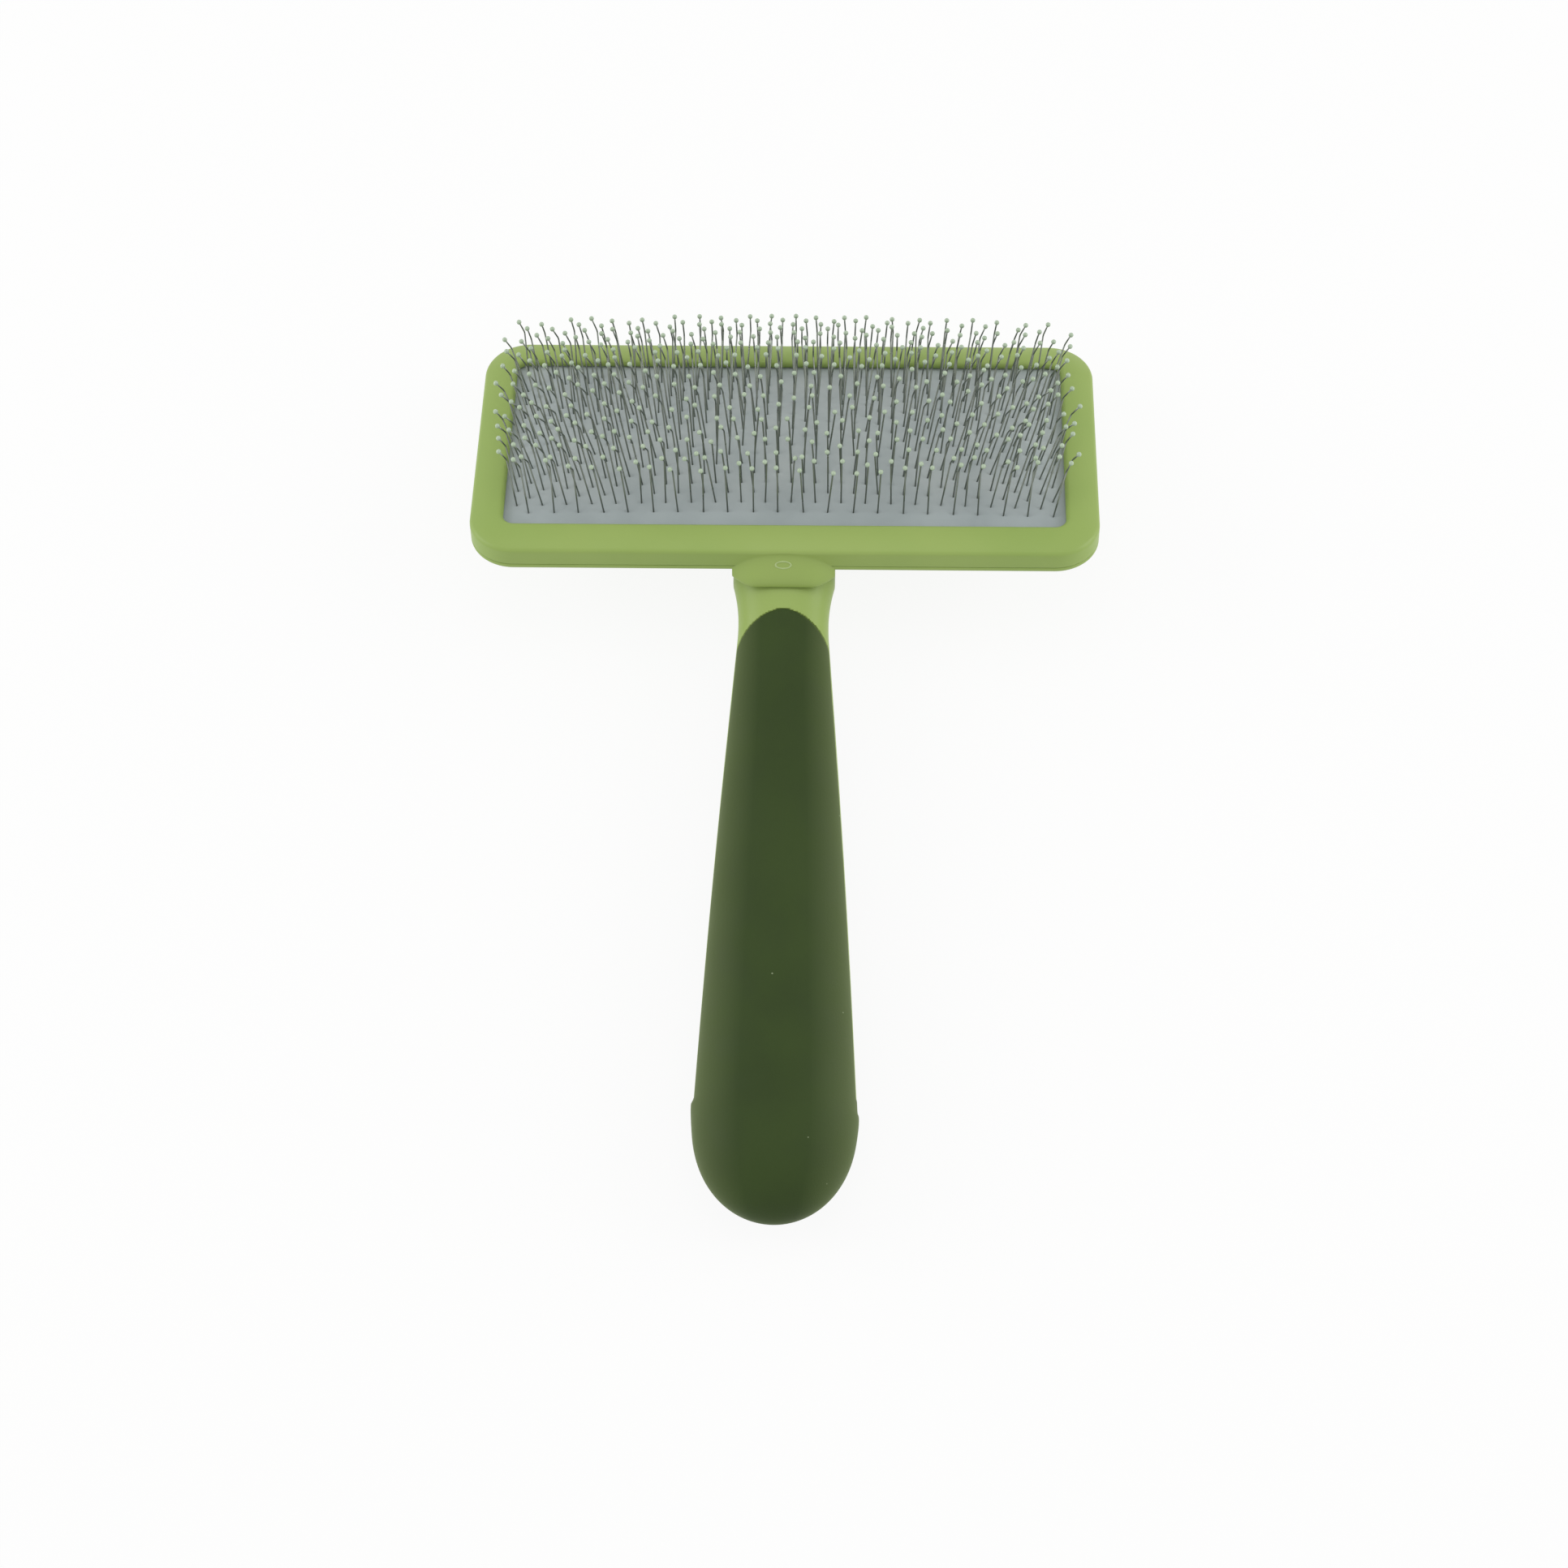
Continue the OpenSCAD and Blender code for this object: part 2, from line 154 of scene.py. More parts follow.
def blendColour(tree, factor, first, second):
    # Blends two colours, each a hex code or a socket.
    ends = [linear(colour) if isinstance(colour, str) else colour for colour in (first, second)]
    made = node(tree, "ShaderNodeMix", {0: factor, 6: ends[0], 7: ends[1]}, data_type="RGBA")
    return made.outputs[2]


def colourBy(tree, shader, colour):
    tree.links.new(colour, shader.inputs["Base Color"])


def roughnessBy(tree, shader, point, size, low, high):
    # Roughness that wanders from low to high over patches of that size.
    patches = spread(tree, noise(tree, point, size), 0.3, 0.7, low, high)
    tree.links.new(patches, shader.inputs["Roughness"])


def grain(tree, shader, point, size, depth, strength):
    # Fine bumps of that size and depth in millimetres.
    height = noise(tree, point, size, 3.0)
    made = node(tree, "ShaderNodeBump", {"Height": height, "Distance": depth * mm, "Strength": strength})
    tree.links.new(made.outputs[0], shader.inputs["Normal"])


# In these dictionaries sizes are in millimetres; roughness is patch size, least and most;
# grain is bump size, depth and strength.
plasticLook = {
    "shades": ("#8CA453", "#93A959"), "flow": 30.0, "roughness": (4.0, 0.38, 0.47),
    "grain": (0.5, 0.02, 0.5), "specular": 0.42, "ior": 1.49,
    "gateShades": ("#A1B574", "#AFC188"), "gatePatch": 1.0,
}


def greenPlastic():
    # Moulded polypropylene: satin, with a fine grain from the mould and faint flow clouds.
    made, tree, shader = material("greenPlastic", "#8FA65C", 0.42, ior=plasticLook["ior"])
    point = objectPoint(tree)
    flow = clouds(tree, point, plasticLook["flow"])
    colourBy(tree, shader, blendColour(tree, flow, *plasticLook["shades"]))
    roughnessBy(tree, shader, point, *plasticLook["roughness"])
    grain(tree, shader, point, *plasticLook["grain"])
    shader.inputs["Specular IOR Level"].default_value = plasticLook["specular"]
    return made


def palePlastic():
    # The same plastic, drawn paler for the gate's fine ring: a painted highlight along its raised outline.
    made, tree, shader = material("palePlastic", "#A8BB7E", 0.5, ior=plasticLook["ior"])
    patches = noise(tree, objectPoint(tree), plasticLook["gatePatch"])
    colourBy(tree, shader, blendColour(tree, patches, *plasticLook["gateShades"]))
    return made


gripLook = {
    "shades": ("#31401E", "#364621"), "cloud": 12.0, "roughness": (6.0, 0.58, 0.68),
    "grain": (0.35, 0.03, 0.6), "specular": 0.14, "ior": 1.5,
    # Paler colour towards the side-facing flanks is painted sheen.
    "flankSheen": "#67744A", "flankSheenFrom": 0.3, "flankSheenMost": 0.55,
    "speck": "#8D9878", "speckSpacing": 6.0, "speckRadius": (0.072, 0.192),
    "sheen": "#A9B889", "sheenWeight": 0.3, "sheenRoughness": 0.4,
}


def gripRubber():
    # Moulded thermoplastic rubber: matt and dark, with painted sheen that makes its side-facing flanks
    # paler, and a few specks of dust.
    made, tree, shader = material("gripRubber", "#36451F", 0.62, ior=gripLook["ior"])
    point = objectPoint(tree)
    dark = blendColour(tree, clouds(tree, point, gripLook["cloud"]), *gripLook["shades"])
    # Painted sheen: the more a surface faces sideways, towards the side lamps, the paler it is drawn.
    normal = node(tree, "ShaderNodeNewGeometry").outputs["Normal"]
    across = node(tree, "ShaderNodeSeparateXYZ", {0: normal}).outputs[0]
    flank = node(tree, "ShaderNodeMath", {0: across}, operation="ABSOLUTE").outputs[0]
    flankSheen = spread(tree, flank, gripLook["flankSheenFrom"], 1.0, 0.0, gripLook["flankSheenMost"])
    base = blendColour(tree, flankSheen, dark, gripLook["flankSheen"])
    spacing = gripLook["speckSpacing"]
    cells = node(tree, "ShaderNodeTexVoronoi", {"Vector": point, "Scale": perMetre(spacing)}, feature="F1")
    least, most = (radius / spacing for radius in gripLook["speckRadius"])
    speck = spread(tree, cells.outputs["Distance"], least, most, 1.0, 0.0)
    colourBy(tree, shader, blendColour(tree, speck, base, gripLook["speck"]))
    roughnessBy(tree, shader, point, *gripLook["roughness"])
    grain(tree, shader, point, *gripLook["grain"])
    shader.inputs["Specular IOR Level"].default_value = gripLook["specular"]
    shader.inputs["Sheen Weight"].default_value = gripLook["sheenWeight"]
    shader.inputs["Sheen Roughness"].default_value = gripLook["sheenRoughness"]
    shader.inputs["Sheen Tint"].default_value = linear(gripLook["sheen"])
    return made


padLook = {
    # The second shades are painted light between the pins; the first are the rubber's own grey along the
    # near edge.
    "nearEdgeTone": ("#97A0A1", "#9FA8A9"), "paintedLightTone": ("#A7B0B0", "#B1B9B8"), "cloud": 8.0,
    "nearStripWidth": 6.0, "paintedLightRamp": 8.0, "grain": (0.3, 0.02, 0.5), "ior": 1.5,
}


def padRubber():
    # Grey rubber sheet: matt, drawn paler between the pins as painted light that lifts the shade they cast,
    # and its own grey along the near edge.
    made, tree, shader = material("padRubber", "#9CA5A6", 0.7, ior=padLook["ior"])
    point = objectPoint(tree)
    cloud = clouds(tree, point, padLook["cloud"], 4.0)
    along = node(tree, "ShaderNodeSeparateXYZ", {0: point}).outputs[1]
    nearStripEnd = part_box("pad_rubber")[0][1] + padLook["nearStripWidth"] * mm
    # Painted light: past a strip along the near edge the pad blends to its paler shades.
    paintedLightShare = spread(tree, along, nearStripEnd, nearStripEnd + padLook["paintedLightRamp"] * mm, 0.0, 1.0)
    nearEdgeTone, paintedLightTone = (blendColour(tree, cloud, *padLook[kind]) for kind in ("nearEdgeTone", "paintedLightTone"))
    colourBy(tree, shader, blendColour(tree, paintedLightShare, nearEdgeTone, paintedLightTone))
    grain(tree, shader, point, *padLook["grain"])
    return made


wireLook = {"shades": ("#73796F", "#949A92"), "patch": 3.0, "roughness": (1.6, 0.26, 0.42)}


def pinSteel():
    # Drawn stainless wire, darker along some draw marks; its colour is darker than bare steel, a painted
    # reflection of dark surroundings.
    made, tree, shader = material("pinSteel", "#858A81", 0.34, metallic=1.0)
    point = objectPoint(tree)
    roughnessBy(tree, shader, point, *wireLook["roughness"])
    patches = noise(tree, point, wireLook["patch"])
    colourBy(tree, shader, blendColour(tree, patches, *wireLook["shades"]))
    return made


beadLook = {"shades": ("#9AAE91", "#B2C2AA"), "patch": 4.0, "coat": 0.3, "ior": 1.5}


def beadGloss():
    # Dipped bead: pale green-white gloss.
    made, tree, shader = material("beadGloss", "#A7B99E", 0.25, ior=beadLook["ior"])
    patches = noise(tree, objectPoint(tree), beadLook["patch"])
    colourBy(tree, shader, blendColour(tree, patches, *beadLook["shades"]))
    shader.inputs["Coat Weight"].default_value = beadLook["coat"]
    return made


clothLook = {"shades": ("#BFC2BA", "#D2D5CD"), "weave": 0.8}


def backingCloth():
    # Woven cloth backing: matt threads, seen only if the pad is lifted.
    made, tree, shader = material("backingCloth", "#C9CCC4", 0.9)
    threads = {"Vector": objectPoint(tree), "Scale": perMetre(clothLook["weave"])}
    weave = node(tree, "ShaderNodeTexWave", threads, bands_direction="X")
    colourBy(tree, shader, blendColour(tree, weave.outputs["Fac"], *clothLook["shades"]))
    return made


foamLook = {"shades": ("#C5C0A9", "#DFDBC8"), "cell": 1.2}


def foam():
    # Open-cell foam cushion: matt and cream, pitted by its cells.
    made, tree, shader = material("foam", "#D8D4C0", 0.95)
    size = perMetre(foamLook["cell"])
    cells = node(tree, "ShaderNodeTexVoronoi", {"Vector": objectPoint(tree), "Scale": size})
    colourBy(tree, shader, blendColour(tree, cells.outputs["Distance"], *foamLook["shades"]))
    return made


def gridFaces(rows, columns, wrap):
    # Quads of a grid of rows x columns points; wrap joins the last column to the first.
    faces = []
    for r in range(rows - 1):
        for c in range(columns if wrap else columns - 1):
            d = (c + 1) % columns
            faces.append((r * columns + c, r * columns + d, (r + 1) * columns + d, (r + 1) * columns + c))
    return faces


def meshObject(name, parts, paint, sharpAngle=None):
    # One object from (points, faces) parts in the head frame, shaded smooth, normals outward.
    points, faces = [], []
    for partPoints, partFaces in parts:
        base = sum(len(p) for p in points)
        points.append(np.asarray(partPoints, float).reshape(-1, 3))
        faces += [tuple(base + i for i in face) for face in partFaces]
    mesh = bpy.data.meshes.new(name)
    mesh.from_pydata(place(np.concatenate(points)).tolist(), [], faces)
    work = bmesh.new()
    work.from_mesh(mesh)
    bmesh.ops.remove_doubles(work, verts=work.verts, dist=1e-7)
    bmesh.ops.recalc_face_normals(work, faces=work.faces)
    work.to_mesh(mesh)
    work.free()
    made = bpy.data.objects.new(name, mesh)
    bpy.context.scene.collection.objects.link(made)
    mesh.shade_smooth()
    if sharpAngle is not None:
        mesh.set_sharp_from_angle(angle=math.radians(sharpAngle))
    mesh.materials.append(paint)
    return made


def arc(centre, radius, start, end, steps):
    # Points on an arc, angles in degrees.
    turn = np.radians(np.linspace(start, end, steps))
    return [(centre[0] + radius * math.cos(a), centre[1] + radius * math.sin(a)) for a in turn]


def roundRim(section, cornerSteps=20):
    # Sweeps a section of (distance outward from the opening, height) round the rim.
    path = []
    for quarter, (sx, sy) in enumerate(((1, 1), (-1, 1), (-1, -1), (1, -1))):
        centre = np.array([sx * (halfX - openCorner), sy * (halfY - openCorner)])
        for a in np.radians(np.linspace(90 * quarter, 90 * quarter + 90, cornerSteps)):
            path.append((centre, np.array([math.cos(a), math.sin(a)])))
    rings = []
    for u, z in section:
        rings.append([(*(centre + (openCorner + u) * out), z) for centre, out in path])
    return np.array(rings), len(path)


def crownSection():
    # Face frame's section: round lip, crowned top, rounded outer edge, side and hollow.
    rim, crown, edge, lip = head["rim"], head["crown"], head["edgeRound"], head["lip"]
    reach = rim - head["crest"]
    crownRadius = (reach ** 2 + crown ** 2) / (2 * crown)
    edgeX = rim - edge
    edgeZ = -crownRadius + math.sqrt((crownRadius - edge) ** 2 - (edgeX - head["crest"]) ** 2)
    meet = math.degrees(math.atan2(edgeZ + crownRadius, edgeX - head["crest"]))
    section = arc((lip, -lip), lip, 270, 95, 10)
    section += arc((head["crest"], -crownRadius), crownRadius, 91, meet, 10)
    section += arc((edgeX, edgeZ), edge, meet, 0, 8)[1:]
    partEdge, partZ = head["partEdge"], -head["partLine"] + head["partGap"]
    section += [(rim, -low) for low in head["sideSteps"]]
    section += arc((rim - partEdge, partZ + partEdge), partEdge, 0, -90, 4)
    section += [(rim - head["wall"], partZ), (rim - head["wall"], -pad["step"] - head["partGap"] / 2)]
    return section


def faceFrame(paint):
    rings, count = roundRim(crownSection())
    faces = gridFaces(len(rings), count, True)
    last = (len(rings) - 1) * count
    faces += [(last + c, last + (c + 1) % count, (c + 1) % count, c) for c in range(count)]
    made = meshObject("faceFrame", [(rings.reshape(-1, 3), faces), tonguePart()], paint, 50)
    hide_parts("face_frame")
    return made


tongue = {
    "width": 18.7, "reach": 2.7, "start": 1.6, "drop": 7.3, "flat": 5.2, "curl": 1.7,
    "sideReach": 0.5, "sideStart": 5.2, "sideDrop": 6.8, "sideCurl": 2.6,
    "lipRound": 0.3, "lipUnder": (1.0, -0.2), "bury": (0.6, 0.4),
}


def tongueSurface(x, v):
    # Point of the tongue's slope: x across, v from 0 at its start on the rim to 1 at its lip.
    edge, half = -head["width"] / 2, tongue["width"] / 2
    beyond = np.clip((np.abs(x) - tongue["flat"]) / (half - tongue["flat"]), 0, 1) ** tongue["curl"]
    rimward = np.abs(x / half) ** tongue["sideCurl"]
    startZ = -tongue["start"] - (tongue["sideStart"] - tongue["start"]) * rimward
    lipZ = -tongue["drop"] + (tongue["drop"] - tongue["sideDrop"]) * beyond
    reach = tongue["reach"] - (tongue["reach"] - tongue["sideReach"]) * beyond
    y = edge - reach * (3 - 2 * v) * v ** 2
    return np.stack(np.broadcast_arrays(x, y, startZ + (lipZ - startZ) * v), -1)


def tonguePart():
    # Tongue that flows from the rim's edge down over the neck to a smiling lip.
    edge = -head["width"] / 2
    across = np.linspace(-1, 1, 61) * tongue["width"] / 2
    rings = [tongueSurface(across, v) for v in np.linspace(0, 1, 22)]
    lip, lipRound, (buryY, buryZ) = rings[-1], tongue["lipRound"], tongue["bury"]
    for a in np.radians(np.linspace(15, 120, 6)):
        rings.append(lip + np.array([0, lipRound * (1 - math.cos(a)), -lipRound * math.sin(a)]))
    rings.append(lip + np.array([0, *tongue["lipUnder"]]))
    rings.append(np.stack([across, np.full_like(across, edge + buryY), lip[:, 2] + buryZ], -1))
    rings.append(rings[0] + np.array([0, buryY, 0]))
    rings = np.array(rings)
    count = len(across)
    faces = gridFaces(len(rings), count, False)
    faces.append(tuple(r * count for r in range(len(rings))))
    faces.append(tuple(r * count + count - 1 for r in reversed(range(len(rings)))))
    return rings.reshape(-1, 3), faces


gateMark = {"place": 0.35, "width": 2.8, "height": 1.2, "line": 0.1, "spread": 1.6}


def gateRing(paint):
    # Fine raised oval that the mould's gate leaves near the top of the tongue.
    turn = np.linspace(0, 2 * math.pi, 64, endpoint=False)
    slope = math.hypot(tongue["drop"] - tongue["start"], tongue["reach"])
    x = gateMark["width"] / 2 * np.cos(turn)
    v = gateMark["place"] + gateMark["height"] / 2 / slope * np.sin(turn)
    line = tongueSurface(x, v)
    down = tongueSurface(x, v + 0.01) - line
    out = np.cross(down, [1.0, 0.0, 0.0])
    out /= np.linalg.norm(out, axis=1, keepdims=True)
    out *= -np.sign(out[:, 1:2])
    away = line - line.mean(0)
    away -= out * (away * out).sum(1, keepdims=True)
    away /= np.linalg.norm(away, axis=1, keepdims=True)
    rings = [line + gateMark["line"] * (math.cos(a) * out + gateMark["spread"] * math.sin(a) * away)
             for a in np.radians(np.linspace(0, 360, 8, endpoint=False))]
    points = np.array(rings).reshape(-1, 3)
    faces = [tuple(i % len(points) for i in face) for face in gridFaces(len(rings) + 1, len(turn), True)]
    return meshObject("gateRing", [(points, faces)], paint)


def handleWidth(t):
    # Half width of the handle at t along it.
    t = np.asarray(t, float)
    middle = handle["neck"] + handle["hollow"]
    bellyAt = handle["length"] - handle["butt"]
    toHollow = np.array([middle - handle["belly"], handle["neckPlace"] - bellyAt])
    turn = math.atan2(toHollow[1], toHollow[0]) - math.asin(handle["hollow"] / np.hypot(*toHollow))
    run = math.sqrt(toHollow @ toHollow - handle["hollow"] ** 2)
    foot = np.array([handle["belly"] + run * math.cos(turn), bellyAt + run * math.sin(turn)])
    hollow = middle - np.sqrt(np.maximum(handle["hollow"] ** 2 - (t - handle["neckPlace"]) ** 2, 0))
    hollow += handle["flare"] * np.clip(handle["neckPlace"] - t, 0, handle["flareRun"]) ** 2
    share = (t - foot[1]) / (bellyAt - foot[1])
    bow = handle["bow"] * np.sin(np.pi * np.clip(share, 0, 1))
    taper = foot[0] + (handle["belly"] - foot[0]) * share + bow
    beyond = np.clip((t - bellyAt) / handle["butt"], 0, 1)
    butt = handle["belly"] * np.sqrt(1 - beyond ** handle["buttPower"])
    return np.where(t < foot[1], np.minimum(handle["root"], hollow), np.where(t < bellyAt, taper, butt))


def sectionPoint(t, angle, offset):
    # Point on the handle's section at t, drawn out by offset; squarer near the neck's root.
    wide = handleWidth(t)
    square = 2 + handle["rootSquare"] * np.clip(1 - t / handle["squareRun"], 0, 1)
    c, s = np.cos(angle), np.sin(angle)
    x = wide * np.sign(c) * np.abs(c) ** (2 / square)
    n = wide * handle["flatness"] * np.sign(s) * np.abs(s) ** (2 / square)
    length = np.hypot(c, s / handle["flatness"])
    return x + offset * c / length, n + offset * s / handle["flatness"] / length


grip = {
    "start": 4.2, "archLength": 9.4, "archWidth": 18.0, "archPower": 1.6, "archScale": 5.0,
    "rib": 1.2, "ribEnd": 22.15, "ribSpan": 0.34,
    "level": -0.25, "stand": 0.33, "edgeRun": 0.35, "coreSink": 0.6, "coreLap": 0.1,
    "stations": (0.25, 1.0), "tipGap": 0.02,
}
# Small shoulder past the rib's end on each side: how far past, how high; then its rise, tail and width.
shoulders = {"left": (1.2, 0.34), "right": (3.2, 0.2), "rise": 0.5, "tail": 2.8, "width": 2.2}
ribStop = handle["length"] - grip["ribEnd"]


def gripCover(x, n, t):
    # Positive inside the soft grip's area and negative outside it, about the distance to its edge.
    archEnd = grip["start"] + grip["archLength"]
    lift = np.clip((archEnd - t) / grip["archLength"], 0, None)
    side = np.abs(x) / (grip["archWidth"] / 2)
    arch = (1 - lift ** 2 - side ** grip["archPower"]) * grip["archScale"]
    arch = np.where(t > archEnd, np.inf, arch)
    return np.minimum(arch, np.maximum(np.abs(n) - grip["rib"], t - ribStop))


def handleGrid(t, angle, offset):
    # Tube over the handle from stations t and angles, drawn out by offset(x, n, t).
    tt, aa = np.meshgrid(t, angle, indexing="ij")
    x, n = sectionPoint(tt, aa, 0.0)
    x, n = sectionPoint(tt, aa, offset(x, n, tt))
    return onHandle(x, n, tt).reshape(-1, 3), gridFaces(len(t), len(angle), True)


def handleStations():
    # Places along the grip, closer together at the arch, the rib's end and the butt.
    close, wide = grip["stations"]
    archRun = np.arange(grip["start"] - 1, grip["start"] + grip["archLength"] + 2, close)
    shaft = np.arange(archRun[-1] + wide, ribStop - 2, wide)
    finish = np.arange(ribStop - 1.5, ribStop + 4, close)
    last = handle["length"] - grip["tipGap"] - finish[-1]
    butt = finish[-1] + last * np.sin(np.linspace(0.04, math.pi / 2, 40))
    return np.concatenate([archRun, shaft, finish, butt])


def handleAngles():
    # Angles round the section, closer together beside the rib's edges.
    edge = np.linspace(-grip["ribSpan"], grip["ribSpan"], 37)
    face = np.linspace(grip["ribSpan"], math.pi - grip["ribSpan"], 75)[1:-1]
    return np.concatenate([edge, face, edge + math.pi, face + math.pi])


def gripOffset(x, n, t):
    # The grip's height above the core's outline: a rounded edge, sunk where the core is bare.
    cover = gripCover(x, n, t)
    edge = np.sin(np.clip(cover / grip["edgeRun"], -1, 1) * math.pi / 2)
    place, height = (np.where(x < 0, *pair) for pair in zip(shoulders["left"], shoulders["right"]))
    past = t - ribStop - place
    along = np.exp(-(past / np.where(past < 0, shoulders["rise"], shoulders["tail"])) ** 2)
    across = np.exp(-(n / shoulders["width"]) ** 2)
    return grip["level"] + grip["stand"] * edge + height * along * across * (cover > 0)


def softGrip(paint):
    t = handleStations()
    points, faces = handleGrid(t, handleAngles(), gripOffset)
    count = len(handleAngles())
    faces.append(tuple(range(count)))
    last, tipPoint = (len(t) - 1) * count, len(points)
    points = np.vstack([points, onHandle(0.0, 0.0, handle["length"])])
    faces += [(last + c, last + (c + 1) % count, tipPoint) for c in range(count)]
    made = meshObject("softGrip", [(points, faces)], paint)
    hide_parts("soft_grip")
    return made


shell = {
    "ledge": 0.6, "ledgeDrop": 1.75, "gap": 0.1, "backEdge": 0.35, "backTurn": (0.25, 0.12),
    "neckReach": 22.0, "neckStep": 1.3,
}


def shellSection():
    # Back shell: band below the parting line, rounded turn, slope and flat back.
    rim, inner, partEdge = head["rim"], head["rim"] - head["wall"], head["partEdge"]
    partZ = -head["partLine"] - head["partGap"]
    slope = math.degrees(math.atan2(head["depth"] - head["bandLow"], head["inset"]))
    section = [(inner - shell["ledge"], -pad["step"] - shell["ledgeDrop"])]
    section.append((inner - shell["gap"], -head["partLine"]))
    section += arc((rim - partEdge, partZ - partEdge), partEdge, 90, 0, 4)
    bend = head["bandRound"]
    section += arc((rim - bend, -head["bandLow"] + shell["gap"]), bend, 0, slope - 90, 6)
    low = np.array(section[-1])
    back = np.array([rim - head["inset"], -head["depth"]])
    foot = back + [0, shell["backEdge"]]
    section += [tuple(low + (foot - low) * share) for share in (0.3, 0.6, 0.86)]
    section += [tuple(back + shell["backTurn"]), tuple(back - [shell["backEdge"], 0])]
    return section


def coreOffset(x, n, t):
    # The core lies under the grip and comes up to the handle's outline where it is bare.
    return np.where(gripCover(x, n, t) > grip["coreLap"], -grip["coreSink"], 0.0)


def handleBody(paint):
    rings, count = roundRim(shellSection())
    faces = gridFaces(len(rings), count, True)
    last = (len(rings) - 1) * count
    faces.append(tuple(last + c for c in range(count)))
    neck = np.linspace(-shell["neckReach"], grip["start"] - shell["neckStep"], 30)
    t = np.concatenate([neck, handleStations()[:-1]])
    core, coreFaces = handleGrid(t, handleAngles(), coreOffset)
    around = len(handleAngles())
    coreFaces += [tuple(range(around)), tuple(range(len(core) - around, len(core)))]
    made = meshObject("handleBody", [(rings.reshape(-1, 3), faces), (core, coreFaces)], paint, 50)
    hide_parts("handle_body")
    return made


def fall(v, half):
    # 1 in the middle, 0 at the opening's edge.
    return np.maximum(0, 1 - (v / half) ** 2)


def domeHeight(x, y):
    return -pad["step"] + pad["rise"] * fall(y, halfY) ** pad["powerY"] * fall(x, halfX) ** pad["powerX"]


def domeNormal(x, y):
    # Unit normal of the dome, by small steps to each side.
    step = 0.01
    dx = (domeHeight(x + step, y) - domeHeight(x - step, y)) / (2 * step)
    dy = (domeHeight(x, y + step) - domeHeight(x, y - step)) / (2 * step)
    normal = np.stack([-dx, -dy, np.ones_like(dx)], -1)
    return normal / np.linalg.norm(normal, axis=-1, keepdims=True)


pins = {
    "rows": 20, "staples": 11, "rowPitch": 1.955, "shift": 0.4,
    "width": 4.7, "pitch": 9.12, "wire": 0.145, "shank": 8.8, "tip": 3.3,
    "lean": 29.0, "knee": 50.0, "kneeRadius": 0.9, "bead": 0.46, "inBead": 0.08, "buried": 2.2,
    "splay": 14.0, "wander": (5.0, 4.5, 9.0), "seed": 7,
}


def pinBases():
    # Base of every leg on the dome: rows equally spaced along the middle of its surface.
    y = np.linspace(-halfY, halfY, 4001)
    z = domeHeight(np.zeros_like(y), y)
    along = np.concatenate([[0], np.cumsum(np.hypot(np.diff(y), np.diff(z)))])
    along -= along[len(y) // 2]
    bases = []
    for row in range(pins["rows"]):
        rowY = np.interp((row - (pins["rows"] - 1) / 2) * pins["rowPitch"] + pins["shift"], along, y)
        rowX = (1 if row % 2 == 0 else -1) * pins["pitch"] / 8
        for staple in range(pins["staples"]):
            middle = rowX + (staple - (pins["staples"] - 1) / 2) * pins["pitch"]
            bases += [(middle - pins["width"] / 2, rowY), (middle + pins["width"] / 2, rowY)]
    return np.array(bases)


def sheetEdge(rows, columns):
    # Indices round a grid's border, in order.
    near = list(range(columns))
    right = [r * columns + columns - 1 for r in range(1, rows)]
    farSide = [(rows - 1) * columns + c for c in reversed(range(columns - 1))]
    left = [r * columns for r in reversed(range(1, rows - 1))]
    return near + right + farSide + left


# A pit at each wire and a small swelling behind it: distance along Y, radius and height.
dimple = {"reach": 1.6, "pit": (0.15, 0.4, -0.16), "swell": (-0.42, 0.34, 0.1), "sheet": 1.0}


def dimpledPad(paint):
    # Rubber sheet over its dome, puckered in where each wire comes through.
    x = np.linspace(-1, 1, 420) * (halfX + pad["clamp"])
    y = np.linspace(-1, 1, 190) * (halfY + pad["clamp"])
    xx, yy = np.meshgrid(x, y)
    z = domeHeight(xx, yy)
    for px, py in pinBases():
        near = (np.abs(x - px) < dimple["reach"])[None, :] & (np.abs(y - py) < dimple["reach"])[:, None]
        for place, radius, height in (dimple["swell"], dimple["pit"]):
            away = np.hypot(xx[near] - px, yy[near] - py - place)
            z[near] += height * np.exp(-(away / radius) ** 2)
    top = np.stack([xx, yy, z], -1).reshape(-1, 3)
    faces = gridFaces(len(y), len(x), False)
    edge = sheetEdge(len(y), len(x))
    skirt = np.vstack([top, top[edge] - [0, 0, dimple["sheet"]]])
    faces += [(edge[i - 1], edge[i], len(top) + i, len(top) + (i - 1) % len(edge)) for i in range(len(edge))]
    made = meshObject("rubberPad", [(skirt, faces)], paint)
    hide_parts("pad_rubber")
    return made


def legLine():
    # Middle line of one leg as (y, z), z square to the pad, then the tip's direction and its end.
    lean, knee = math.radians(pins["lean"]), math.radians(pins["knee"])
    up = np.array([math.sin(lean), math.cos(lean)])
    back = np.array([math.sin(lean - knee), math.cos(lean - knee)])
    corner = up * pins["shank"]
    cut = pins["kneeRadius"] * math.tan(knee / 2)
    line = [-up * pins["buried"], corner * 0.5]
    for share in np.linspace(0, 1, 6):
        a, b, c = (1 - share) ** 2, 2 * share * (1 - share), share ** 2
        line.append(a * (corner - up * cut) + b * corner + c * (corner + back * cut))
    line.append(corner + back * (pins["tip"] + pins["inBead"]))
    return np.array(line), back, corner + back * pins["tip"]


def template(name, points, faces):
    # Hidden mesh in metres that the pin field repeats.
    mesh = bpy.data.meshes.new(name)
    mesh.from_pydata((np.asarray(points) * mm).tolist(), [], faces)
    mesh.shade_smooth()
    return bpy.data.objects.new(name, mesh)


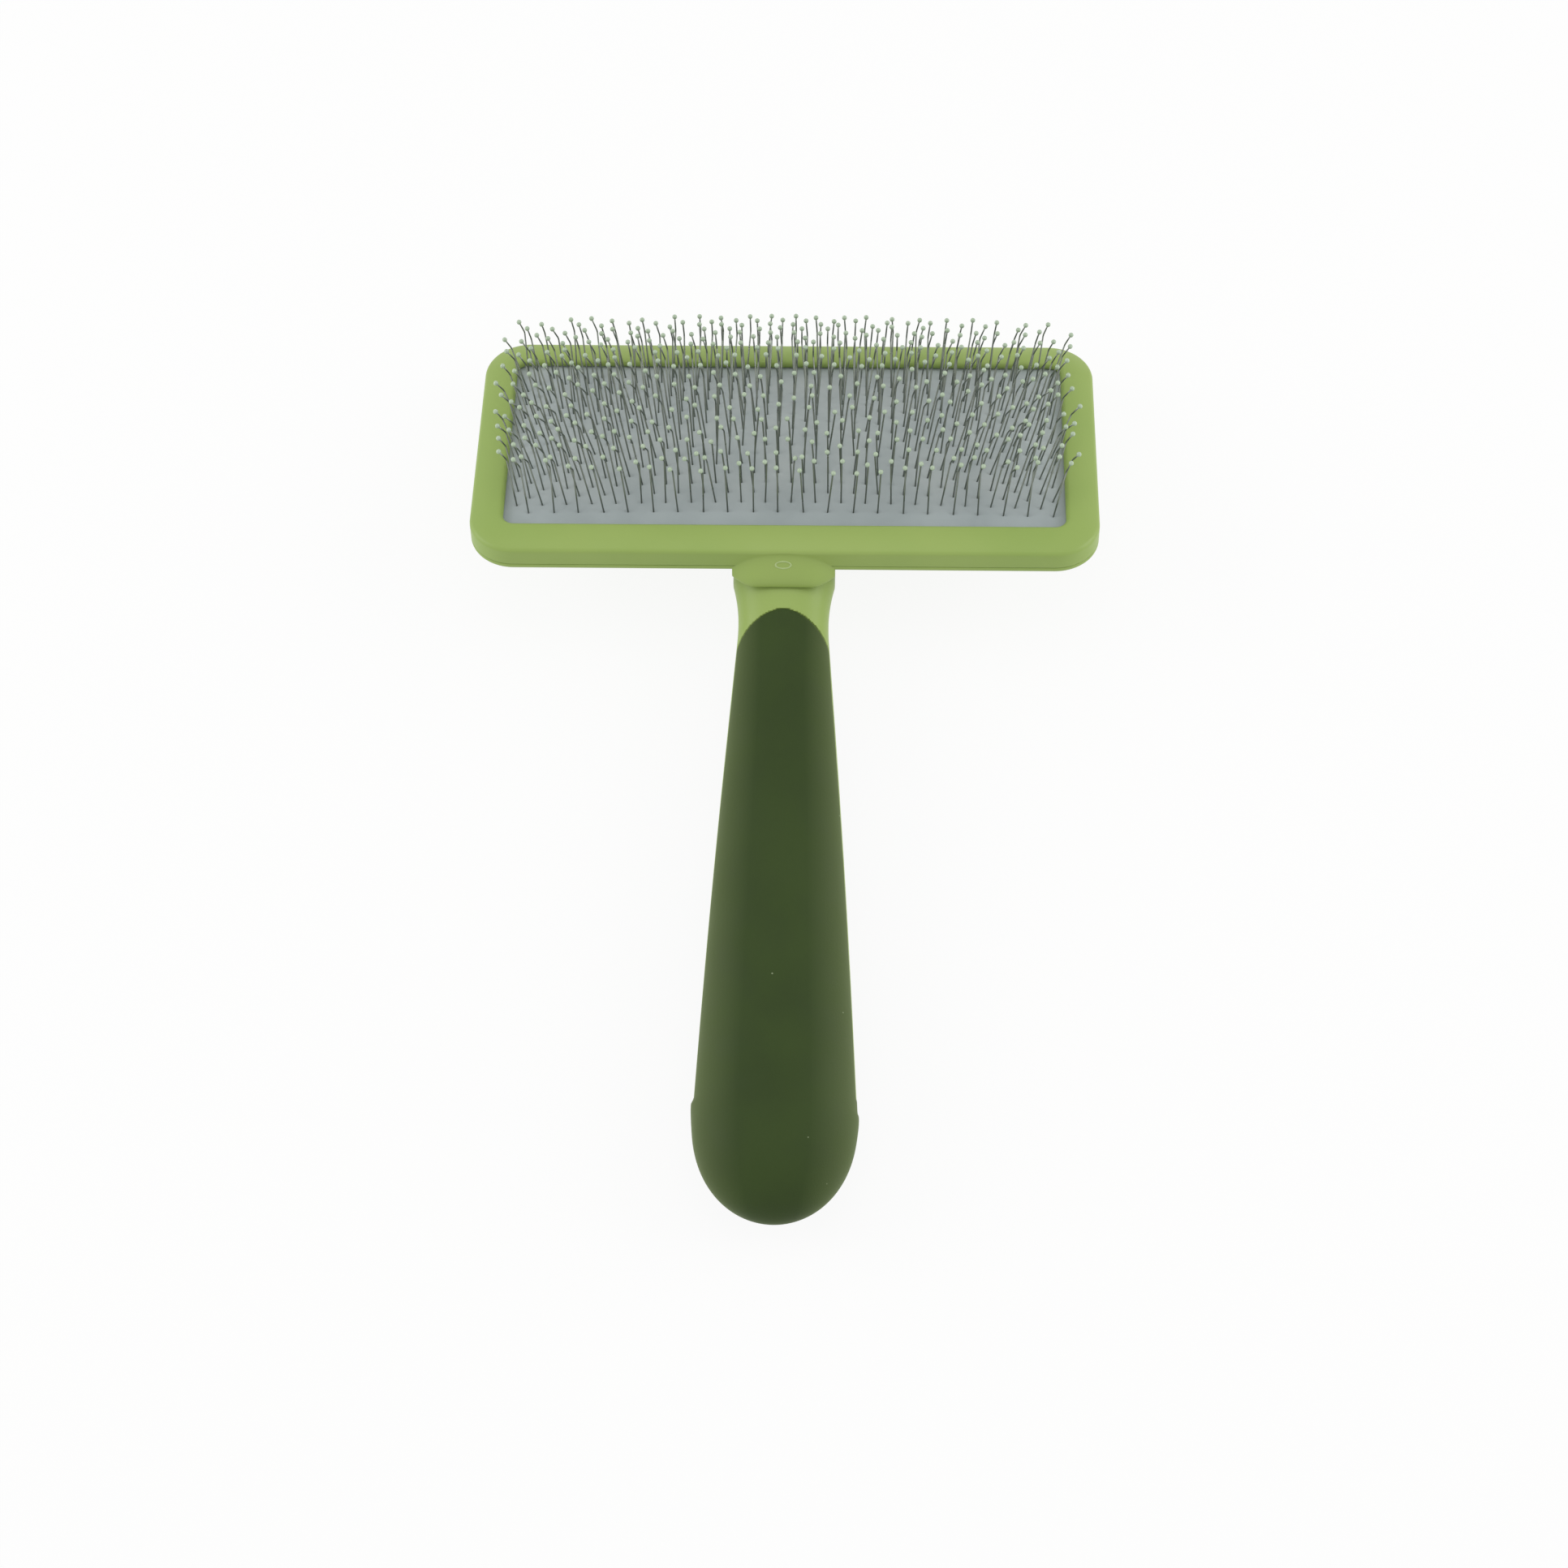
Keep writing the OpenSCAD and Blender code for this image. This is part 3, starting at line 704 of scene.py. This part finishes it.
def wireAlong(line, radius, sides=8):
    # Closed tube along a line of (y, z) points in the plane x = 0, faces outward.
    line = np.asarray(line, float)
    way = np.gradient(line, axis=0)
    way /= np.linalg.norm(way, axis=1, keepdims=True)
    turn = np.linspace(0, 2 * math.pi, sides, endpoint=False)
    rings = [np.stack([radius * np.cos(turn), p[0] + radius * np.sin(turn) * w[1],
                       p[1] - radius * np.sin(turn) * w[0]], -1) for p, w in zip(line, way)]
    faces = gridFaces(len(line), sides, True)
    last = (len(line) - 1) * sides
    return np.concatenate(rings), faces + [tuple(reversed(range(sides))), tuple(range(last, last + sides))]


def beadAt(centre, radius):
    # Round bead with its centre at (y, z).
    work = bmesh.new()
    bmesh.ops.create_uvsphere(work, u_segments=14, v_segments=9, radius=radius)
    points = [(v.co.x, v.co.y + centre[0], v.co.z + centre[1]) for v in work.verts]
    faces = [tuple(v.index for v in face.verts) for face in work.faces]
    work.free()
    return points, faces


def fieldTree():
    # Puts a copy of one pin part on every point, at the point's own turn and a small random one.
    tree = bpy.data.node_groups.new("pinField", "GeometryNodeTree")
    takes = {"Bases": "Geometry", "Pin": "Object", "Spread": "Vector", "Seed": "Int", "Finish": "Material"}
    for label, kind in takes.items():
        tree.interface.new_socket(label, in_out="INPUT", socket_type="NodeSocket" + kind)
    tree.interface.new_socket("Field", in_out="OUTPUT", socket_type="NodeSocketGeometry")
    given = node(tree, "NodeGroupInput").outputs
    turn = node(tree, "GeometryNodeInputNamedAttribute", {"Name": "turn"}, data_type="FLOAT_VECTOR")
    square = node(tree, "FunctionNodeEulerToRotation", {0: turn.outputs[0]})
    low = node(tree, "ShaderNodeVectorMath", {0: given["Spread"], 1: (-1, -1, -1)}, operation="MULTIPLY")
    wander = node(tree, "FunctionNodeRandomValue", {0: low.outputs[0], 1: given["Spread"], 8: given["Seed"]},
                  data_type="FLOAT_VECTOR")
    nudge = node(tree, "FunctionNodeEulerToRotation", {0: wander.outputs[0]})
    final = node(tree, "FunctionNodeRotateRotation", {0: square.outputs[0], 1: nudge.outputs[0]},
                 rotation_space="LOCAL")
    info = node(tree, "GeometryNodeObjectInfo", {"Object": given["Pin"], "As Instance": True})
    copied = {"Points": given["Bases"], "Instance": info.outputs["Geometry"], "Rotation": final.outputs[0]}
    placed = node(tree, "GeometryNodeInstanceOnPoints", copied)
    real = node(tree, "GeometryNodeRealizeInstances", {0: placed.outputs[0]})
    finished = {"Geometry": real.outputs[0], "Material": given["Finish"]}
    painted = node(tree, "GeometryNodeSetMaterial", finished)
    node(tree, "NodeGroupOutput", {0: painted.outputs[0]})
    return tree


def pinField(name, tree, shape, bases, turns, wander, paint):
    # Runs the tree over the bases and keeps its result as a plain mesh; wander is in degrees.
    mesh = bpy.data.meshes.new(name + "Bases")
    mesh.from_pydata(place(bases).tolist(), [], [])
    mesh.attributes.new("turn", "FLOAT_VECTOR", "POINT").data.foreach_set("vector", np.ravel(turns))
    holder = bpy.data.objects.new(name + "Holder", mesh)
    bpy.context.scene.collection.objects.link(holder)
    bpy.context.scene.collection.objects.link(shape)
    modifier = holder.modifiers.new("pinField", "NODES")
    modifier.node_group = tree
    reach = [math.radians(a) for a in wander]
    values = {"Pin": shape, "Spread": reach, "Seed": pins["seed"], "Finish": paint}
    for item in tree.interface.items_tree:
        if item.in_out == "INPUT" and item.name in values:
            modifier[item.identifier] = values[item.name]
    graph = bpy.context.evaluated_depsgraph_get()
    grown = bpy.data.meshes.new_from_object(holder.evaluated_get(graph), depsgraph=graph)
    for spent in (holder, shape):
        bpy.data.objects.remove(spent)
    made = bpy.data.objects.new(name, grown)
    bpy.context.scene.collection.objects.link(made)
    grown.materials.clear()
    grown.materials.append(paint)
    if "turn" in grown.attributes:
        grown.attributes.remove(grown.attributes["turn"])
    return made


def pinTurns(x, y):
    # Square to the pad, splayed a little more in the outer columns.
    turns = []
    for px, n in zip(x, domeNormal(x, y)):
        splay = math.radians(pins["splay"]) * np.sign(px) * (abs(px) / halfX) ** 2
        aboutY = math.atan2(n[0], n[2]) + splay
        aboutX = -math.atan2(n[1], math.hypot(n[0], n[2]))
        local = Matrix.Rotation(aboutY, 3, "Y") @ Matrix.Rotation(aboutX, 3, "X")
        turns.append((toRow.to_3x3().normalized() @ local).to_euler("XYZ"))
    return np.array([tuple(t) for t in turns])


def staplePins(wirePaint, beadPaint):
    tree = fieldTree()
    base = pinBases()
    x, y = base[:, 0], base[:, 1]
    on = np.stack([x, y, domeHeight(x, y)], -1)
    turns = pinTurns(x, y)
    line, back, end = legLine()
    legs = pinField("staplePins", tree, template("leg", *wireAlong(line, pins["wire"])),
                    on, turns, pins["wander"], wirePaint)
    seat = math.sqrt(pins["bead"] ** 2 - pins["wire"] ** 2)
    beads = pinField("pinBeads", tree, template("bead", *beadAt(end + back * seat, pins["bead"])),
                     on, turns, pins["wander"], beadPaint)
    mid = on.reshape(-1, 2, 3).mean(1)
    lean = math.radians(pins["lean"])
    depth, drop = pins["buried"] * math.cos(lean), pins["buried"] * math.sin(lean)
    bar, faces = wireAlong([(-pins["width"] / 2, 0.0), (pins["width"] / 2, 0.0)], pins["wire"])
    bar = np.stack([bar[:, 1], bar[:, 0] - drop, bar[:, 2] - depth], -1)
    crowns = pinField("stapleCrowns", tree, template("crown", bar, [f[::-1] for f in faces]),
                      mid, pinTurns(mid[:, 0], mid[:, 1]), (0.0, 0.0, 0.0), wirePaint)
    rows = ["%02d" % (row + 1) for row in range(pins["rows"])]
    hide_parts(*["staple_row_" + row for row in rows])
    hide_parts(*["staple_row_" + row for row in rows])
    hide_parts(*["tip_row_" + row for row in rows])
    return legs, crowns, beads


def padLayer(name, grow, top, bottom, paint, stands):
    # Layer under the rubber: grow reaches past the opening, top is a depth below the dome's surface
    # and bottom(x, y) gives the height of its underside.
    x = np.linspace(-1, 1, 100) * (halfX + grow)
    y = np.linspace(-1, 1, 50) * (halfY + grow)
    xx, yy = np.meshgrid(x, y)
    upper = np.stack([xx, yy, domeHeight(xx, yy) - top], -1).reshape(-1, 3)
    lower = upper.copy()
    lower[:, 2] = bottom(xx.ravel(), yy.ravel())
    count = len(upper)
    faces = gridFaces(len(y), len(x), False)
    faces += [tuple(count + i for i in reversed(face)) for face in list(faces)]
    edge = sheetEdge(len(y), len(x))
    faces += [(edge[i], edge[i - 1], count + edge[i - 1], count + edge[i]) for i in range(len(edge))]
    made = meshObject(name, [(np.vstack([upper, lower]), faces)], paint, 40)
    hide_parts(stands)
    return made


backingSize = {"grow": 2.0, "top": 1.2, "bottom": 1.7}
cushionSize = {"grow": -1.7, "top": 2.4, "floor": -9.5}


def backingSheet(paint):
    # Cloth that follows the rubber's dome.
    def bottom(x, y):
        return domeHeight(x, y) - backingSize["bottom"]
    return padLayer("backing", backingSize["grow"], backingSize["top"], bottom, paint, "pad_fabric")


def cushionBlock(paint):
    # Foam that fills the shell below the cloth, flat at the bottom.
    def bottom(x, y):
        return np.full_like(x, cushionSize["floor"])
    return padLayer("cushion", cushionSize["grow"], cushionSize["top"], bottom, paint, "pad_cushion")


# Camera's angles in radians, its distance and shift in millimetres.
view = {
    "tilt": 0.69614, "roll": 0.01872, "turn": -0.03604, "distance": 646.07,
    "across": 0.4216, "along": 63.535, "lens": 79.934, "sensor": 36.0, "clip": (0.01, 20.0),
}


def camera():
    # Camera over the brush, tilted from the head's normal towards the handle.
    cr, sr = math.cos(view["roll"]), math.sin(view["roll"])
    ct, st = math.cos(view["tilt"]), math.sin(view["tilt"])
    about = Matrix.Rotation(-view["turn"], 3, "Z")
    right = about @ Vector((cr, -sr * ct, -sr * st))
    up = about @ Vector((sr, cr * ct, cr * st))
    forward = about @ Vector((0, st, -ct))
    centre = -view["across"] * right - view["along"] * up - view["distance"] * forward
    turn = toRow.to_3x3().normalized()
    lens = bpy.data.cameras.new("camera")
    lens.lens = view["lens"]
    lens.sensor_width = view["sensor"]
    lens.clip_start, lens.clip_end = view["clip"]
    made = bpy.data.objects.new("camera", lens)
    axes = Matrix((turn @ right, turn @ up, turn @ -forward)).transposed()
    made.matrix_world = Matrix.Translation(toRow @ centre) @ axes.to_4x4()
    bpy.context.scene.collection.objects.link(made)
    bpy.context.scene.camera = made


# Pairs are for the rays that light the brush, then for those that show the background.
light = {"floorShare": (0.3, 0.9), "floorGlow": (1.6, 1.0), "world": (0.68, 1.0), "aim": (0, 0, 0.02)}
# Soft boxes: place and side in metres, power in watts.
boxes = {
    "leftBox": ((-0.8, 0.12, 0.4), 0.6, 3.0),
    "rightBox": ((0.8, 0.12, 0.4), 0.6, 3.0),
    "topBox": ((0.0, 0.25, 1.0), 0.6, 0.8),
}
floorSide = 6.0


def shownRays(tree):
    # 1 for rays that show the background: straight to the camera, off gloss or through glass.
    path = node(tree, "ShaderNodeLightPath").outputs
    shown = path["Is Camera Ray"]
    for kind in ("Is Glossy Ray", "Is Transmission Ray"):
        shown = node(tree, "ShaderNodeMath", {0: shown, 1: path[kind]}, operation="MAXIMUM").outputs[0]
    return shown


def paleFloor():
    made, tree, shader = material("paleFloor", "#ECECEA", 0.9)
    seen = shownRays(tree)
    share = spread(tree, seen, 0.0, 1.0, *light["floorShare"])
    level = spread(tree, seen, 0.0, 1.0, *light["floorGlow"])
    glow = node(tree, "ShaderNodeEmission", {"Color": (1, 1, 1, 1), "Strength": level})
    mixed = node(tree, "ShaderNodeMixShader", {0: share, 1: shader.outputs[0], 2: glow.outputs[0]})
    tree.links.new(mixed.outputs[0], tree.nodes["Material Output"].inputs[0])
    mesh = bpy.data.meshes.new("floor")
    corners = [(x * floorSide, y * floorSide, 0) for x, y in ((-1, -1), (1, -1), (1, 1), (-1, 1))]
    mesh.from_pydata(corners, [], [(0, 1, 2, 3)])
    mesh.materials.append(made)
    floor = bpy.data.objects.new("floor", mesh)
    bpy.context.scene.collection.objects.link(floor)


def studio():
    world = bpy.data.worlds.new("studio")
    bpy.context.scene.world = world
    world.use_nodes = True
    tree = world.node_tree
    level = spread(tree, shownRays(tree), 0.0, 1.0, *light["world"])
    ground = tree.nodes["Background"]
    ground.inputs["Color"].default_value = (1, 1, 1, 1)
    tree.links.new(level, ground.inputs["Strength"])
    for name, (spot, size, power) in boxes.items():
        lamp = bpy.data.lights.new(name, "AREA")
        lamp.energy, lamp.size = power, size
        made = bpy.data.objects.new(name, lamp)
        made.location = spot
        aim = Vector(light["aim"]) - Vector(spot)
        made.rotation_euler = aim.to_track_quat("-Z", "Y").to_euler()
        bpy.context.scene.collection.objects.link(made)
    bpy.context.scene.view_settings.view_transform = "Standard"


green, pale, soft, grey = greenPlastic(), palePlastic(), gripRubber(), padRubber()
steel, gloss, cloth, sponge = pinSteel(), beadGloss(), backingCloth(), foam()

made = [
    (faceFrame(green), "light_plastic"),
    (gateRing(pale), "light_plastic"),
    (handleBody(green), "light_plastic"),
    (softGrip(soft), "dark_rubber"),
]
print("shells and grip made")
rubber = dimpledPad(grey)
made.append((rubber, "grey_rubber"))
made += [(backingSheet(cloth), "backing_fabric"), (cushionBlock(sponge), "foam")]
print("pad made")
legs, crowns, beads = staplePins(steel, gloss)
made += [(legs, "wire"), (crowns, "wire"), (beads, "bead")]
print("pins made")
for piece, finish in made:
    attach(piece, "root")

camera()
paleFloor()
studio()
print("scene made")
